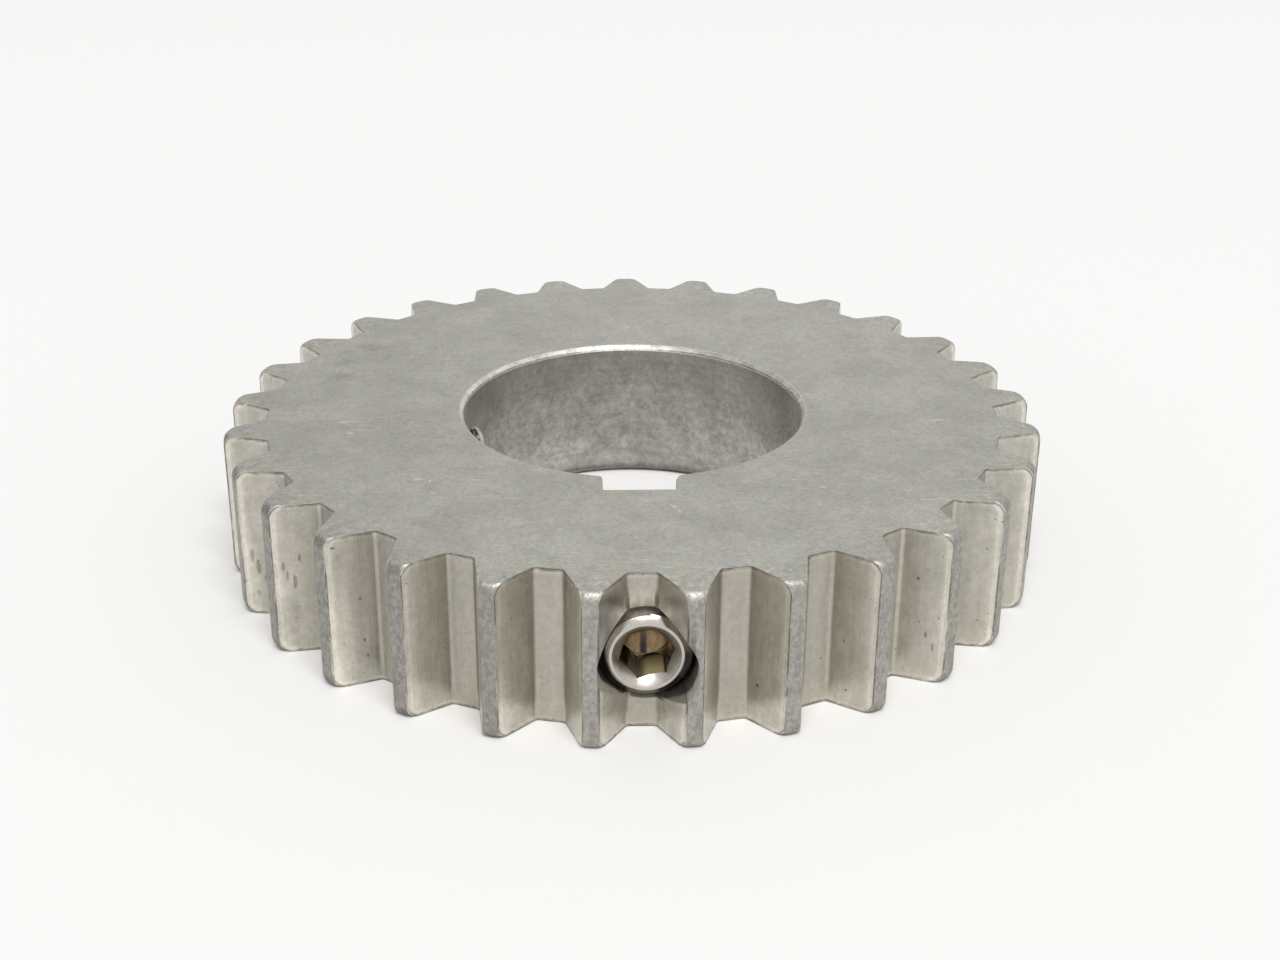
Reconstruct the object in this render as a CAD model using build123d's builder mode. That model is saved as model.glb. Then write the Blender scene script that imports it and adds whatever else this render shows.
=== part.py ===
from build123d import *
import os
from math import cos, radians, sin, sqrt, tan

# A toothed sprocket ring with a keyed bore, and the set screw in its rim.
# Millimetres. The bore's axis is Z and the origin is the middle of the bore, so the part
# rests on its lower face at z = -face_width / 2. The keyway and the set screw are on -Y.

INCH = 25.4

# The turned blank
outside_diameter = 3.0 * INCH
bore_diameter = 1.25 * INCH
face_width = 14.1
end_rounding_depth = 0.85  # between the outside and each face, measured inwards
end_rounding_length = 1.05  # and along the axis
bore_chamfer = 0.5  # 45 degrees, at both ends of the bore

# The teeth
tooth_count = 29
root_distance = 34.2  # from the bore's axis to the flat bottom of a tooth space
root_width = 2.4  # between the two corners where the flanks would meet that flat
tip_land = 1.3  # what the cutter leaves of the outside on each tooth
root_fillet = 0.45
tip_rounding = 0.2
tooth_phase = -0.6  # degrees, from the keyway's centre to that of the nearest space

# The keyway, for a quarter-inch square key
keyway_width = 0.25 * INCH
keyway_floor = 18.9  # from the bore's axis
keyway_corner = 0.25
mouth_radius_left = 1.4  # the corner towards -X was broken less than the other one
mouth_radius_right = 2.4

# The two tapped holes, 5/16-18, left at their tap drill size where no screw fills them. One
# runs out over the keyway and holds the set screw. The other is empty, in the tooth space
# that is this many spaces round from the first, clockwise seen from above.
screw_diameter = 5 / 16 * INCH
tap_drill_diameter = 0.257 * INCH
mouth_diameter = 8.1  # where each hole opens among the teeth
mouth_start = 33.4  # from the bore's axis
side_hole_space = 8

# The set screw: hexagon socket, cup point
screw_length = 0.5 * INCH
screw_face = 35.2  # from the bore's axis to the screw's outer end
ring_diameter = 6.06  # flat ring at the outer end, inside its chamfer
ring_inner_diameter = 5.5
countersink_half_angle = 50.0
socket_across_flats = 5 / 32 * INCH
socket_depth = 4.0
socket_turn = 12.7  # degrees that the hexagon's corners are turned from level
socket_drill_diameter = 3.9
drill_half_angle = 59.0
cup_diameter = 4.3
cup_half_angle = 59.0

# Worked out from those, with directions in degrees from +X
half_width = face_width / 2
outside_radius = outside_diameter / 2
bore_radius = bore_diameter / 2
screw_radius = screw_diameter / 2
screw_tip = screw_face - screw_length
pitch_angle = 360 / tooth_count
keyway_angle = -90.0
first_space_angle = keyway_angle + tooth_phase
side_hole_angle = first_space_angle - side_hole_space * pitch_angle
corner_height = sqrt(outside_radius**2 - (tip_land / 2) ** 2)
past_outside = 3.0  # how far the cutting profiles run past the metal


def tooth_space():
    """Gives the two ends of the right-hand flank of a space that points along +X."""
    tip_angle = radians(pitch_angle / 2)
    tip_x = corner_height * cos(tip_angle) + tip_land / 2 * sin(tip_angle)
    tip_y = corner_height * sin(tip_angle) - tip_land / 2 * cos(tip_angle)
    slope = (tip_y - root_width / 2) / (tip_x - root_distance)
    end_x = outside_radius + past_outside
    end_y = root_width / 2 + slope * (end_x - root_distance)
    return (root_distance, root_width / 2), (end_x, end_y)


def radius_of(vertex):
    """Gives a vertex's distance from the bore's axis."""
    return sqrt(vertex.X**2 + vertex.Y**2)


# One tooth space, pointing along +X: straight flanks that run out past the metal
root_corner, flank_end = tooth_space()

with BuildSketch() as space:
    with BuildLine():
        Polyline(
            root_corner,
            flank_end,
            (flank_end[0], -flank_end[1]),
            (root_corner[0], -root_corner[1]),
            close=True,
        )
    make_face()

# Corners nearer the axis than the first limit are at a root, and past the second at a tip
root_limit = (root_distance + outside_radius) / 2
tip_limit = outside_radius - 0.01

# The outline of the toothed rim, seen along the bore: the outside circle less one space per
# tooth, with the root corners filleted and the tip edges eased
with BuildSketch(Plane.XY.offset(-half_width)) as rim_outline:
    Circle(outside_radius)
    with PolarLocations(0, tooth_count, start_angle=first_space_angle):
        add(space.sketch, mode=Mode.SUBTRACT)
    root_corners = rim_outline.vertices().filter_by(lambda corner: radius_of(corner) < root_limit)
    fillet(root_corners, root_fillet)
    tip_corners = rim_outline.vertices().filter_by(lambda corner: radius_of(corner) > tip_limit)
    fillet(tip_corners, tip_rounding)

# The keyed bore's outline: the bore and the keyway in one, with its mouth corners rounded
with BuildSketch(Plane.XY.offset(-half_width)) as bore_outline:
    Circle(bore_radius)
    with Locations((0, -keyway_floor / 2)):
        Rectangle(keyway_width, keyway_floor)
    floor_corners = bore_outline.vertices().group_by(Axis.Y)[0]
    fillet(floor_corners, keyway_corner)
    for side, radius in ((-1, mouth_radius_left), (1, mouth_radius_right)):
        near_mouth = (side * keyway_width / 2, -bore_radius)
        fillet(bore_outline.vertices().sort_by_distance(near_mouth)[0], radius)


def hole_plane(angle):
    """Gives the plane square to a radial hole, on the bore's axis and facing outwards."""
    outwards = Vector(cos(radians(angle)), sin(radians(angle)), 0)
    return Plane(origin=(0, 0, 0), x_dir=outwards.cross(Vector(0, 0, -1)), z_dir=outwards)


with BuildPart() as sprocket:
    # The blank: a ring with rounded outer edges and a chamfered bore, from half its section
    with BuildSketch(Plane.XZ):
        with BuildLine():
            rounding_centre = (outside_radius - end_rounding_depth, half_width - end_rounding_length)
            rounding = EllipticalCenterArc(rounding_centre, end_rounding_depth, end_rounding_length)
            Polyline(
                rounding @ 1,
                (bore_radius + bore_chamfer, half_width),
                (bore_radius, half_width - bore_chamfer),
                (bore_radius, 0),
                (outside_radius, 0),
                rounding @ 0,
            )
        make_face()
        mirror(about=Plane.XZ)
    revolve(axis=Axis.Z)

    # The teeth, then the keyway
    extrude(rim_outline.sketch, amount=face_width, mode=Mode.INTERSECT)
    extrude(bore_outline.sketch, amount=face_width, mode=Mode.SUBTRACT)

    # The tapped holes run from the bore through the rim and are wider where they open. The
    # one over the keyway is also as wide as its screw, from the screw's tip outwards.
    for angle, diameter, start in (
        (keyway_angle, tap_drill_diameter, 0),
        (keyway_angle, screw_diameter, screw_tip),
        (keyway_angle, mouth_diameter, mouth_start),
        (side_hole_angle, tap_drill_diameter, 0),
        (side_hole_angle, mouth_diameter, mouth_start),
    ):
        with BuildSketch(hole_plane(angle).offset(start)):
            Circle(diameter / 2)
        extrude(amount=outside_radius + past_outside - start, mode=Mode.SUBTRACT)

sprocket.part.label = "sprocket"

with BuildPart() as set_screw:
    # Turned about -Y, with distances from the bore's axis: flat ring and chamfer at the outer
    # end, then the body, and the cup point inside
    sink_depth = ring_inner_diameter / 2 / tan(radians(countersink_half_angle))
    cup_depth = cup_diameter / 2 / tan(radians(cup_half_angle))
    with BuildSketch(Plane.XY):
        with BuildLine():
            Polyline(
                (0, sink_depth - screw_face),
                (ring_inner_diameter / 2, -screw_face),
                (ring_diameter / 2, -screw_face),
                (screw_radius, (screw_radius - ring_diameter / 2) - screw_face),
                (screw_radius, -screw_tip - (screw_radius - cup_diameter / 2)),
                (cup_diameter / 2, -screw_tip),
                (0, -screw_tip - cup_depth),
                close=True,
            )
        make_face()
    revolve(axis=Axis.Y)

    # The hexagon socket, and the drill's cone at its bottom
    socket_floor = screw_face - socket_depth
    with BuildSketch(hole_plane(keyway_angle).offset(socket_floor)):
        RegularPolygon(socket_across_flats / 2, 6, major_radius=False, rotation=socket_turn)
    extrude(amount=socket_depth, mode=Mode.SUBTRACT)
    drill_radius = socket_drill_diameter / 2
    with BuildSketch(Plane.XY):
        with BuildLine():
            Polyline(
                (0, -socket_floor),
                (drill_radius, -socket_floor),
                (0, drill_radius / tan(radians(drill_half_angle)) - socket_floor),
                close=True,
            )
        make_face()
    revolve(axis=Axis.Y, mode=Mode.SUBTRACT)

set_screw.part.label = "set_screw"

os.makedirs("parts", exist_ok=True)
export_step(sprocket.part, "parts/sprocket.step")
export_step(set_screw.part, "parts/set_screw.step")
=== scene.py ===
# %% [markdown]
# # A toothed sprocket with a set screw
#
# This lesson dresses one machined steel part in Blender. Its solids come ready from the CAD
# step, in metres, with the middle of the bore at the origin and the bore's axis along Z. They
# are never moved. Two new meshes stand for them: the same forms, with cleaner faces, eased
# edges, real threads and worn steel finishes.

# %% The frame
from math import asin, atan2, ceil, cos, degrees, floor, pi, radians, sin, sqrt, tan

import bmesh
import bpy
from mathutils import Matrix, Vector


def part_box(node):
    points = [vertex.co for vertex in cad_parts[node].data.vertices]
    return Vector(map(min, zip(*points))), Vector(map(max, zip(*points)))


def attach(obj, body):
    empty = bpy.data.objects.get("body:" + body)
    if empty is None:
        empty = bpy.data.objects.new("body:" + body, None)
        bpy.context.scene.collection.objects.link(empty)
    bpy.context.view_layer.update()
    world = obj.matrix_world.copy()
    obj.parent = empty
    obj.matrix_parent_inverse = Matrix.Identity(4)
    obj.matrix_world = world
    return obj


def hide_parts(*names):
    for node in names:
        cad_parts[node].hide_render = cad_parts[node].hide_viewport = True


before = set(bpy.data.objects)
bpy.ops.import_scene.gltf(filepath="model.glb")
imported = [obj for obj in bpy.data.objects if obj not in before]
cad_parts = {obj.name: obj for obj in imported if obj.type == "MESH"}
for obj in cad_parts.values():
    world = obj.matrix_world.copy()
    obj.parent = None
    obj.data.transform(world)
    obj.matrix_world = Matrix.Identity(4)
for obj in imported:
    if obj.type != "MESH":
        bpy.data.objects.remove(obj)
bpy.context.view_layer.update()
print("CAD nodes:", sorted(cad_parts))

# %% [markdown]
# The width comes from the frame, as the height of the sprocket's box. The other sizes are
# the ones that the part was designed with, most of them fractions of an inch. Small work is
# easier to read in millimetres, so the meshes are made at that scale and shrunk to metres as
# the last thing, once their shapes are complete.

# %% Sizes of the turned ring, in millimetres
MM = 0.001
INCH = 25.4
low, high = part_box("sprocket")
half_width = (high.z - low.z) / 2 / MM
outside_radius = 1.5 * INCH
bore_radius = 0.625 * INCH
bore_chamfer = 0.5
end_rounding_depth = 0.85
end_rounding_length = 1.05
print(f"half width {half_width:.3f} mm, bore radius {bore_radius:.3f} mm")

# %% Sizes of the teeth
tooth_count = 29
root_distance = 34.2
root_width = 2.4
tip_land = 1.3
root_fillet = 0.45
tip_rounding = 0.2
pitch_angle = 360 / tooth_count
keyway_angle = -90.0
first_space_angle = keyway_angle - 0.6  # the tooth space nearest the keyway
print(f"one tooth every {pitch_angle:.2f} degrees")

# %% [markdown]
# A bmesh operator works on the vertices, edges and faces that it is given, and gives back a
# mixed list of what it made. A few short helpers sort such lists. Two vertices count as one
# when they are nearer than a thousandth of a millimetre.

# %% Sorting what the operators take and give
merge_distance = 1e-3
plane_tolerance = 1e-4  # how far off a plane a vertex may lie and still count as on it


def all_of(bm):
    """Gives every vertex, edge and face of a bmesh, for an operator to work on."""
    return bm.verts[:] + bm.edges[:] + bm.faces[:]


def verts_in(items):
    """Keeps the vertices of a mixed list."""
    return [item for item in items if isinstance(item, bmesh.types.BMVert)]


def turn_all(bm, matrix):
    """Turns a whole bmesh about the origin."""
    bmesh.ops.rotate(bm, verts=bm.verts, cent=(0, 0, 0), matrix=matrix)


def is_level(edge, height):
    """Says whether both ends of an edge are at a height."""
    return all(abs(vertex.co.z - height) < plane_tolerance for vertex in edge.verts)


def open_edges(bm, height):
    """Gives the edges at a height that have a face on one side only."""
    return [edge for edge in bm.edges if edge.is_boundary and is_level(edge, height)]


def polar(radius, angle, height=0.0):
    """Gives the point at a distance from the bore's axis and an angle in degrees."""
    return Vector((radius * cos(radians(angle)), radius * sin(radians(angle)), height))


print("vertices merge within", merge_distance, "mm")

# %% [markdown]
# ## The rim
#
# All 29 teeth are alike, so one is enough to model. Half a tooth space is even less work: a
# chain of four vertices, from the middle of the space's flat bottom, up the flank, to the
# middle of the land. Extruding the chain gives a wall, and bevelling its two upright edges
# gives the fillet at the root and the eased corner at the tip, with faces only where the
# metal bends. A mirror makes it a whole space and a spin repeats it round the ring.

# %% Half a tooth space, pointing along +X
half_pitch = pitch_angle / 2
land_angle = degrees(asin(tip_land / 2 / outside_radius))
root_corner = Vector((root_distance, root_width / 2, 0))
tip_corner = polar(outside_radius, half_pitch - land_angle)
flank_line = (tip_corner - root_corner).normalized()
flank_angle = degrees(atan2(flank_line.y, flank_line.x))

wall = bmesh.new()
chain = [
    wall.verts.new(point - Vector((0, 0, half_width)))
    for point in (
        Vector((root_distance, 0, 0)),
        root_corner,
        tip_corner,
        polar(outside_radius, half_pitch),
    )
]
chain_edges = [wall.edges.new(pair) for pair in zip(chain, chain[1:])]
raised = bmesh.ops.extrude_edge_only(wall, edges=chain_edges)["geom"]
bmesh.ops.translate(wall, verts=verts_in(raised), vec=(0, 0, 2 * half_width))
print(f"flank at {flank_angle:.2f} degrees to the middle of its space")


# %% The root fillet and the eased tip
def upright_at(bm, point):
    """Gives the upright edge that stands on a point of the chain."""
    def away(edge):
        middle = (edge.verts[0].co + edge.verts[1].co) / 2
        return (middle.xy - point.xy).length

    def is_upright(edge):
        return abs(edge.verts[0].co.z - edge.verts[1].co.z) > half_width

    return min(filter(is_upright, bm.edges), key=away)


root_turn = 90 - flank_angle
tip_turn = 90 + half_pitch - land_angle - flank_angle
for corner, radius, turn, segments in (
    (root_corner, root_fillet, root_turn, 5),
    (tip_corner, tip_rounding, tip_turn, 6),
):
    bmesh.ops.bevel(
        wall,
        geom=[upright_at(wall, corner)],
        offset=radius * tan(radians(turn / 2)),
        offset_type="OFFSET",
        affect="EDGES",
        segments=segments,
        profile=0.5,
        material=-1,
        clamp_overlap=False,
    )
print("faces in half a space:", len(wall.faces))

# %% [markdown]
# A mesh face says which finish it has by the number of a material slot on its piece. Names
# are easier to follow than numbers, so one dictionary turns the name of each finish into its
# slot. The ring's slots are counted from 0, and so are the screw's.

# %% The names of the finishes
RING_FINISHES = (
    "blasted_face",
    "cut_flank",
    "tooth_land",
    "bore_wall",
    "bore_chamfer",
    "tapped_wall",
    "hole_mouth",
    "worn_edge",
)
SCREW_FINISHES = ("screw_polish", "oily_socket", "screw_sink", "screw_thread", "socket_floor")
SLOT = {name: slot for slot, name in enumerate(RING_FINISHES)}
SLOT.update({name: slot for slot, name in enumerate(SCREW_FINISHES)})


def give_finish(faces, name):
    """Gives every one of these faces a finish."""
    for face in faces:
        face.material_index = SLOT[name]


def middle_distance(face):
    """Gives how far the middle of a face is from the bore's axis."""
    return face.calc_center_median().xy.length


land_limit = outside_radius - 0.03  # the middle of a face on the land lies outside this
on_land = [face for face in wall.faces if middle_distance(face) > land_limit]
give_finish(wall.faces, "cut_flank")
give_finish(on_land, "tooth_land")
print("faces on half a land:", len(on_land))

# %% [markdown]
# The blank was turned before the teeth were cut, with its outer edges rounded over. So the
# teeth lose height towards both faces, on a quarter of an ellipse. Cutting the wall at a few
# heights gives vertices there. At each height the corner of the tooth slides down its flank
# to where the blank ends, and takes its eased edge along. Tumbling has worn the outermost
# corners most, so the eased edge also grows on its way to the face.

# %% The rounded ends of the teeth
rounding_steps = 7
rounding_start = half_width - end_rounding_length
end_tip_rounding = 0.9
growth_power = 1.5  # above 1, so that the eased edge grows late
tip_reach = tip_rounding * tan(radians(tip_turn / 2))


def into_rounding(height):
    """Gives how far a height is into the end rounding: 0 where it starts, 1 at the face."""
    return max(0.0, abs(height) - rounding_start) / end_rounding_length


def blank_radius(height):
    """Gives the turned blank's outer radius at a height."""
    drop = 1 - sqrt(max(0.0, 1 - into_rounding(height) ** 2))
    return outside_radius - end_rounding_depth * drop


def corner_at(height):
    """Gives the corner between the flank and the blank at a height."""
    along = root_corner.dot(flank_line)
    reach = sqrt(along**2 - root_corner.length_squared + blank_radius(height) ** 2) - along
    return root_corner + flank_line * reach


def corner_growth(height):
    """Gives how many times larger the eased tip is at a height than midway up the tooth."""
    return 1 + (end_tip_rounding / tip_rounding - 1) * into_rounding(height) ** growth_power


def trim_to_blank(vertex):
    """Moves a wall vertex of the eased tip or the land in to the blank's surface."""
    height = vertex.co.z
    flat = vertex.co.xy.to_3d()
    from_corner = flat - tip_corner
    if from_corner.length < tip_reach + merge_distance:
        flat = corner_at(height) + from_corner * corner_growth(height)
    if flat.length > blank_radius(height):
        flat = flat.normalized() * blank_radius(height)
    vertex.co = flat + Vector((0, 0, height))


for step in range(rounding_steps):
    height = rounding_start + end_rounding_length * sin(radians(90 * step / rounding_steps))
    for side in (-1, 1):
        bmesh.ops.bisect_plane(
            wall, geom=all_of(wall), plane_co=(0, 0, side * height), plane_no=(0, 0, 1)
        )
for vertex in wall.verts:
    trim_to_blank(vertex)
print(f"blank radius at the faces {blank_radius(half_width):.2f} mm")

# %% [markdown]
# The two flat faces begin as strips from the tops of the teeth in to a plain circle. Every
# strip face has four sides, so the edges of the teeth can be eased later without a mess.

# %% Strips on both faces, and the whole rim
strip_width = 1.6  # from the roots in
strip_radius = root_distance - strip_width
for side in (-1, 1):
    before = set(wall.faces)
    outline = open_edges(wall, side * half_width)
    strip = bmesh.ops.extrude_edge_only(wall, edges=outline)["geom"]
    for vertex in verts_in(strip):
        vertex.co = vertex.co.xy.to_3d().normalized() * strip_radius
        vertex.co.z = side * half_width
    give_finish(set(wall.faces) - before, "blasted_face")
bmesh.ops.mirror(wall, geom=all_of(wall), merge_dist=plane_tolerance, axis="Y")
turn_all(wall, Matrix.Rotation(radians(first_space_angle), 3, "Z"))
bmesh.ops.spin(
    wall,
    geom=all_of(wall),
    cent=(0, 0, 0),
    axis=(0, 0, 1),
    angle=radians(pitch_angle * (tooth_count - 1)),
    steps=tooth_count - 1,
    use_duplicate=True,
)
bmesh.ops.remove_doubles(wall, verts=wall.verts, dist=merge_distance)
print("faces in the rim:", len(wall.faces))

# %% [markdown]
# ## The keyed bore
#
# Seen along the axis, the bore is one closed line: nearly a whole circle, then round the
# corner into the keyway, down its side, across its floor and back. A vertex that is spun
# about a centre leaves an arc behind it, and one that is extruded leaves a straight. So the
# line is drawn as with a compass and a ruler, and its corners have their true radii.

# %% A compass, a ruler and the rounded corners of the keyway's mouth
keyway_half = 0.125 * INCH
keyway_floor = 18.9
keyway_corner = 0.25
mouth_radii = {-1: 1.4, 1: 2.4}  # the corner at -X was broken less than the other one


def arc(bm, vertex, centre, angle, steps):
    """Spins a vertex about an upright line through a centre, and gives the arc's last vertex."""
    swept = bmesh.ops.spin(
        bm, geom=[vertex], cent=centre, axis=(0, 0, 1), angle=radians(angle), steps=steps
    )
    return verts_in(swept["geom_last"])[0]


def straight(bm, vertex, x, y):
    """Draws an edge from a vertex to a point at its own height, and gives its end."""
    new = bmesh.ops.extrude_vert_indiv(bm, verts=[vertex])["verts"][0]
    new.co = Vector((x, y, vertex.co.z))
    return new


def around(point, centre=Vector((0, 0, 0))):
    """Gives the direction of a point from a centre, in degrees."""
    return degrees(atan2(point.y - centre.y, point.x - centre.x))


def mouth_centre(side):
    """Gives the centre of the rounded corner between the bore and a side of the keyway."""
    radius = mouth_radii[side]
    x = side * (keyway_half + radius)
    return Vector((x, -sqrt((bore_radius + radius) ** 2 - x**2), 0))


left, right = mouth_centre(-1), mouth_centre(1)
print(f"mouth corners {around(right) - around(left):.1f} degrees apart")

# %% The bore's outline at its lower end
bore_steps = 220
corner_steps = 4
mouth_steps = {-1: 9, 1: 12}
bore = bmesh.new()
bore_start = bore.verts.new(right.normalized() * bore_radius - Vector((0, 0, half_width)))
bore_sweep = (around(left) - around(right)) % 360
pen = arc(bore, bore_start, (0, 0, 0), bore_sweep, bore_steps)
pen = arc(bore, pen, left, -around(pen.co, left), mouth_steps[-1])
pen = straight(bore, pen, -keyway_half, keyway_corner - keyway_floor)
corner = (keyway_corner - keyway_half, keyway_corner - keyway_floor, 0)
pen = arc(bore, pen, corner, 90, corner_steps)
pen = straight(bore, pen, keyway_half - keyway_corner, -keyway_floor)
corner = (keyway_half - keyway_corner, keyway_corner - keyway_floor, 0)
pen = arc(bore, pen, corner, 90, corner_steps)
pen = straight(bore, pen, keyway_half, right.y)
pen = arc(bore, pen, right, around(bore_start.co, right) - 180, mouth_steps[1])
gap = (pen.co - bore_start.co).length
bmesh.ops.remove_doubles(bore, verts=bore.verts, dist=merge_distance)
print(f"the line closes to {gap:.5f} mm, with {len(bore.verts)} vertices")

# %% [markdown]
# The line is raised into the bore's wall, and then grows outwards at both ends: first up the
# chamfer, then on to the flat face. The keyway has no chamfer, and its part of the line only
# rises to the face, so it goes on as bore wall there.

# %% The bore's wall, its chamfers and the ring of faces round it
ring_scale = 1.07
chamfer_outside = bore_radius + bore_chamfer
chamfer_limit = chamfer_outside - 0.02  # the middle of a face on the chamfer lies inside this


def raise_loop(bm, edges, height, radius=0.0, scale=1.0):
    """Extrudes a loop of edges to a height, out to a radius and by a scale.

    Gives the edges of the new loop.
    """
    grown = bmesh.ops.extrude_edge_only(bm, edges=edges)["geom"]
    for vertex in verts_in(grown):
        flat = vertex.co.xy.to_3d()
        if flat.length < radius:
            flat = flat.normalized() * radius
        vertex.co = flat * scale + Vector((0, 0, height))
    new_edges = [item for item in grown if isinstance(item, bmesh.types.BMEdge)]
    return [edge for edge in new_edges if is_level(edge, height)]


bmesh.ops.translate(bore, verts=bore.verts, vec=(0, 0, bore_chamfer))
lower = bore.edges[:]
upper = raise_loop(bore, lower, half_width - bore_chamfer)
give_finish(bore.faces, "bore_wall")
for side, loop in ((-1, lower), (1, upper)):
    before = set(bore.faces)
    at_face = raise_loop(bore, loop, side * half_width, radius=chamfer_outside)
    rising = set(bore.faces) - before
    chamfered = [face for face in rising if middle_distance(face) < chamfer_limit]
    give_finish(rising, "bore_wall")
    give_finish(chamfered, "bore_chamfer")
    before = set(bore.faces)
    raise_loop(bore, at_face, side * half_width, scale=ring_scale)
    give_finish(set(bore.faces) - before, "blasted_face")
print("faces in the bore:", len(bore.faces))

# %% [markdown]
# The rim and the bore are one closed skin once the space between their strips is filled. A
# triangle fill does this on each flat face, where long triangles can do no harm.

# %% One closed ring
def joined(bm, other):
    """Adds a second bmesh to the first."""
    carrier = bpy.data.meshes.new("carrier")
    other.to_mesh(carrier)
    other.free()
    bm.from_mesh(carrier)
    bpy.data.meshes.remove(carrier)
    return bm


ring = joined(wall, bore)
for side in (-1, 1):
    before = set(ring.faces)
    bmesh.ops.triangle_fill(
        ring,
        edges=open_edges(ring, side * half_width),
        use_beauty=True,
        use_dissolve=False,
        normal=(0, 0, side),
    )
    give_finish(set(ring.faces) - before, "blasted_face")
bmesh.ops.recalc_face_normals(ring, faces=ring.faces)
print("open edges left:", sum(1 for edge in ring.edges if not edge.is_manifold))
print(f"ring volume {ring.calc_volume(signed=True):.0f} cubic mm")

# %% [markdown]
# ## The tapped holes
#
# A thread is one tooth profile that turns and climbs at the same time. Spin does both: it
# turns the profile about the axis and moves it along by a little at each step. The result is
# a threaded rod, and a rod that is taken away from the ring leaves a tapped hole. The same
# rod, a hair thinner, is the screw's own thread, so the two run in each other's grooves.

# %% A threaded rod along +Z
thread_pitch = INCH / 18
thread_slope = 30  # degrees that a thread's side leans from square to its axis
thread_phase = 0.09  # in pitches: where along the screw its thread runs out
screw_radius = 5 / 32 * INCH


def profile_line(bm, profile):
    """Draws a chain of edges through (radius, height) pairs, in the plane of +X and +Z."""
    points = [bm.verts.new((radius, 0, height)) for radius, height in profile]
    return points + [bm.edges.new(pair) for pair in zip(points, points[1:])]


def threaded_rod(minor, major, crest, start, end, turn_steps=72):
    """Makes a rod with a right-hand thread whose crests are this wide, between two heights."""
    rise = (major - minor) * tan(radians(thread_slope))
    one_tooth = (
        (minor, 0),
        (minor, (thread_pitch - crest) / 2 - rise),
        (major, (thread_pitch - crest) / 2),
        (major, (thread_pitch + crest) / 2),
        (minor, (thread_pitch + crest) / 2 + rise),
        (minor, thread_pitch),
    )
    foot = (floor(start / thread_pitch - 1) + thread_phase) * thread_pitch
    turns = ceil((end - foot) / thread_pitch) + 1
    rod = bmesh.new()
    bmesh.ops.spin(
        rod,
        geom=profile_line(rod, [(radius, foot + height) for radius, height in one_tooth]),
        cent=(0, 0, 0),
        axis=(0, 0, 1),
        dvec=(0, 0, thread_pitch / turn_steps),
        angle=2 * pi * turns,
        steps=turn_steps * turns,
    )
    bmesh.ops.remove_doubles(rod, verts=rod.verts, dist=merge_distance)
    for height, side in ((start, -1), (end, 1)):
        bmesh.ops.bisect_plane(
            rod,
            geom=all_of(rod),
            plane_co=(0, 0, height),
            plane_no=(0, 0, side),
            clear_outer=True,
        )
        bmesh.ops.holes_fill(rod, edges=open_edges(rod, height))
    return rod


print(f"thread pitch {thread_pitch:.3f} mm")

# %% Tools turned from a profile
side_hole_space = 8  # tooth spaces round from the first, clockwise from above
side_hole_angle = first_space_angle - side_hole_space * pitch_angle


def turned(profile, steps=96):
    """Spins a profile of (radius, height) pairs, from pole to pole, into a solid."""
    solid = bmesh.new()
    bmesh.ops.spin(
        solid,
        geom=profile_line(solid, profile),
        cent=(0, 0, 0),
        axis=(0, 0, 1),
        angle=2 * pi,
        steps=steps,
        use_merge=True,
    )
    bmesh.ops.remove_doubles(solid, verts=solid.verts, dist=merge_distance)
    return solid


def cylinder(radius, start, end, steps=96):
    """Makes a plain cylinder between two heights, or a prism when it has few steps."""
    return turned(((0, start), (radius, start), (radius, end), (0, end)), steps)


def outwards(angle):
    """Gives the turn from +Z to this direction from the bore's axis."""
    return Vector((0, 0, 1)).rotation_difference(polar(1, angle)).to_matrix()


print(f"the side hole points {side_hole_angle:.1f} degrees from +X")

# %% [markdown]
# Some operators leave what they made in an order that changes from run to run. The shape is
# the same, but a later cut may then split a flat area along other lines. So each bmesh is
# sorted by place before it becomes an object. A sort moves the elements, so the vertices are
# numbered again before their numbers are used to sort the edges and faces.

# %% Pieces, and cutting them with a solid
def new_object(name, data):
    """Puts an object with this data into the scene."""
    made = bpy.data.objects.new(name, data)
    bpy.context.scene.collection.objects.link(made)
    return made


def sort_by(items, place):
    """Sorts the vertices, edges or faces of a bmesh by what a function gives for each."""
    rank = {item: number for number, item in enumerate(sorted(items, key=place))}
    items.sort(key=rank.get)
    items.index_update()


def put_in_order(bm):
    """Sorts a bmesh, so that the same shape always has its parts in the same order."""
    sort_by(bm.verts, lambda vertex: vertex.co[:])
    for items in (bm.edges, bm.faces):
        sort_by(items, lambda item: sorted(vertex.index for vertex in item.verts))


def piece_mesh(bm, name, finishes=()):
    """Turns a bmesh into an object, still in millimetres, with its faces outwards."""
    put_in_order(bm)
    bmesh.ops.recalc_face_normals(bm, faces=bm.faces)
    mesh = bpy.data.meshes.new(name)
    bm.to_mesh(mesh)
    bm.free()
    for finish in finishes:
        mesh.materials.append(bpy.data.materials.new(finish))
    return new_object(name, mesh)


def carve(target, tool_bm, name, operation="DIFFERENCE"):
    """Cuts an object with a bmesh, which is used up. The new faces have the named finish."""
    give_finish(tool_bm.faces, name)
    tool = piece_mesh(tool_bm, "tool")
    for material in target.data.materials:
        tool.data.materials.append(material)
    cut = target.modifiers.new("cut", "BOOLEAN")
    cut.operation = operation
    cut.object = tool
    cut.solver = "EXACT"
    cut.material_mode = "INDEX"
    scene_state = bpy.context.evaluated_depsgraph_get()
    result = bpy.data.meshes.new_from_object(target.evaluated_get(scene_state))
    target.modifiers.remove(cut)
    old = target.data
    target.data = result
    bpy.data.meshes.remove(old)
    bpy.data.objects.remove(tool)


sprocket = piece_mesh(ring, "toothed_ring", RING_FINISHES)
print("faces before the holes:", len(sprocket.data.polygons))

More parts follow.
